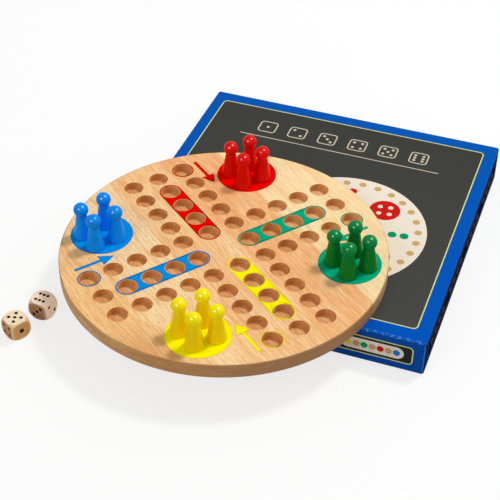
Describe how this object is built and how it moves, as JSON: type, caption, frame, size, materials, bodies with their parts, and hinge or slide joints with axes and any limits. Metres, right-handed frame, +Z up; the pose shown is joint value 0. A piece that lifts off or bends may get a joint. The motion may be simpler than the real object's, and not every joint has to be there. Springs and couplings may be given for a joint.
{
  "type": "boxed ludo board game",
  "caption": "Carton game box with a lift-off lid. On it lies a round wooden ludo board with drilled holes and printed fields, with cone pawns on its home discs and wooden dice beside it.",
  "frame": {"origin": "centre of the tray's underside, which stands on the table", "axes": "+X along the box's front edge to the right, +Y to the box's back edge, +Z up"},
  "size_m": [0.308, 0.3453, 0.0738],
  "materials": {
    "greyboard": "raw greyboard, folded and glued",
    "printed_wrap": "printed paper wrap with a satin varnish",
    "board_wood": "edge-glued beech staves, sanded and waxed",
    "ink_green": "screen-printed ink",
    "ink_red": "screen-printed ink",
    "ink_blue": "screen-printed ink",
    "ink_yellow": "screen-printed ink",
    "lacquer_green": "turned wood, dipped in gloss lacquer",
    "lacquer_red": "turned wood, dipped in gloss lacquer",
    "lacquer_blue": "turned wood, dipped in gloss lacquer",
    "lacquer_yellow": "turned wood, dipped in gloss lacquer",
    "dice_wood": "tumbled beech with black painted pips"
  },
  "bodies": {
    "tray": {"box_tray": "greyboard"},
    "lid": {"box_lid": "printed_wrap"},
    "board": {"board": "board_wood", "home_disc_green": "ink_green", "goal_strip_green": "ink_green", "start_ring_green": "ink_green", "start_arrow_green": "ink_green", "home_disc_red": "ink_red", "goal_strip_red": "ink_red", "start_ring_red": "ink_red", "start_arrow_red": "ink_red", "home_disc_blue": "ink_blue", "goal_strip_blue": "ink_blue", "start_ring_blue": "ink_blue", "start_arrow_blue": "ink_blue", "home_disc_yellow": "ink_yellow", "goal_strip_yellow": "ink_yellow", "start_ring_yellow": "ink_yellow", "start_arrow_yellow": "ink_yellow"},
    "pawn_green_1": {"pawn_green_1": "lacquer_green"},
    "pawn_green_2": {"pawn_green_2": "lacquer_green"},
    "pawn_green_3": {"pawn_green_3": "lacquer_green"},
    "pawn_green_4": {"pawn_green_4": "lacquer_green"},
    "pawn_red_1": {"pawn_red_1": "lacquer_red"},
    "pawn_red_2": {"pawn_red_2": "lacquer_red"},
    "pawn_red_3": {"pawn_red_3": "lacquer_red"},
    "pawn_red_4": {"pawn_red_4": "lacquer_red"},
    "pawn_blue_1": {"pawn_blue_1": "lacquer_blue"},
    "pawn_blue_2": {"pawn_blue_2": "lacquer_blue"},
    "pawn_blue_3": {"pawn_blue_3": "lacquer_blue"},
    "pawn_blue_4": {"pawn_blue_4": "lacquer_blue"},
    "pawn_yellow_1": {"pawn_yellow_1": "lacquer_yellow"},
    "pawn_yellow_2": {"pawn_yellow_2": "lacquer_yellow"},
    "pawn_yellow_3": {"pawn_yellow_3": "lacquer_yellow"},
    "pawn_yellow_4": {"pawn_yellow_4": "lacquer_yellow"},
    "die_front": {"die_front": "dice_wood"},
    "die_back": {"die_back": "dice_wood"}
  },
  "joints": [
    {"name": "lid_lift", "type": "slide", "parent": "tray", "child": "lid", "axis": [0, 0, 1], "range_m": [0, 0.04]},
    {"name": "board_lift", "type": "slide", "parent": "lid", "child": "board", "axis": [0, 0, 1], "range_m": [0, 0.05]},
    {"name": "pawn_green_1_lift", "type": "slide", "parent": "board", "child": "pawn_green_1", "axis": [0, 0, 1], "range_m": [0, 0.045]},
    {"name": "pawn_green_2_lift", "type": "slide", "parent": "board", "child": "pawn_green_2", "axis": [0, 0, 1], "range_m": [0, 0.045]},
    {"name": "pawn_green_3_lift", "type": "slide", "parent": "board", "child": "pawn_green_3", "axis": [0, 0, 1], "range_m": [0, 0.045]},
    {"name": "pawn_green_4_lift", "type": "slide", "parent": "board", "child": "pawn_green_4", "axis": [0, 0, 1], "range_m": [0, 0.045]},
    {"name": "pawn_red_1_lift", "type": "slide", "parent": "board", "child": "pawn_red_1", "axis": [0, 0, 1], "range_m": [0, 0.045]},
    {"name": "pawn_red_2_lift", "type": "slide", "parent": "board", "child": "pawn_red_2", "axis": [0, 0, 1], "range_m": [0, 0.045]},
    {"name": "pawn_red_3_lift", "type": "slide", "parent": "board", "child": "pawn_red_3", "axis": [0, 0, 1], "range_m": [0, 0.045]},
    {"name": "pawn_red_4_lift", "type": "slide", "parent": "board", "child": "pawn_red_4", "axis": [0, 0, 1], "range_m": [0, 0.045]},
    {"name": "pawn_blue_1_lift", "type": "slide", "parent": "board", "child": "pawn_blue_1", "axis": [0, 0, 1], "range_m": [0, 0.045]},
    {"name": "pawn_blue_2_lift", "type": "slide", "parent": "board", "child": "pawn_blue_2", "axis": [0, 0, 1], "range_m": [0, 0.045]},
    {"name": "pawn_blue_3_lift", "type": "slide", "parent": "board", "child": "pawn_blue_3", "axis": [0, 0, 1], "range_m": [0, 0.045]},
    {"name": "pawn_blue_4_lift", "type": "slide", "parent": "board", "child": "pawn_blue_4", "axis": [0, 0, 1], "range_m": [0, 0.045]},
    {"name": "pawn_yellow_1_lift", "type": "slide", "parent": "board", "child": "pawn_yellow_1", "axis": [0, 0, 1], "range_m": [0, 0.045]},
    {"name": "pawn_yellow_2_lift", "type": "slide", "parent": "board", "child": "pawn_yellow_2", "axis": [0, 0, 1], "range_m": [0, 0.045]},
    {"name": "pawn_yellow_3_lift", "type": "slide", "parent": "board", "child": "pawn_yellow_3", "axis": [0, 0, 1], "range_m": [0, 0.045]},
    {"name": "pawn_yellow_4_lift", "type": "slide", "parent": "board", "child": "pawn_yellow_4", "axis": [0, 0, 1], "range_m": [0, 0.045]},
    {"name": "die_front_lift", "type": "slide", "parent": "tray", "child": "die_front", "axis": [0, 0, 1], "range_m": [0, 0.04]},
    {"name": "die_back_lift", "type": "slide", "parent": "tray", "child": "die_back", "axis": [0, 0, 1], "range_m": [0, 0.04]}
  ]
}
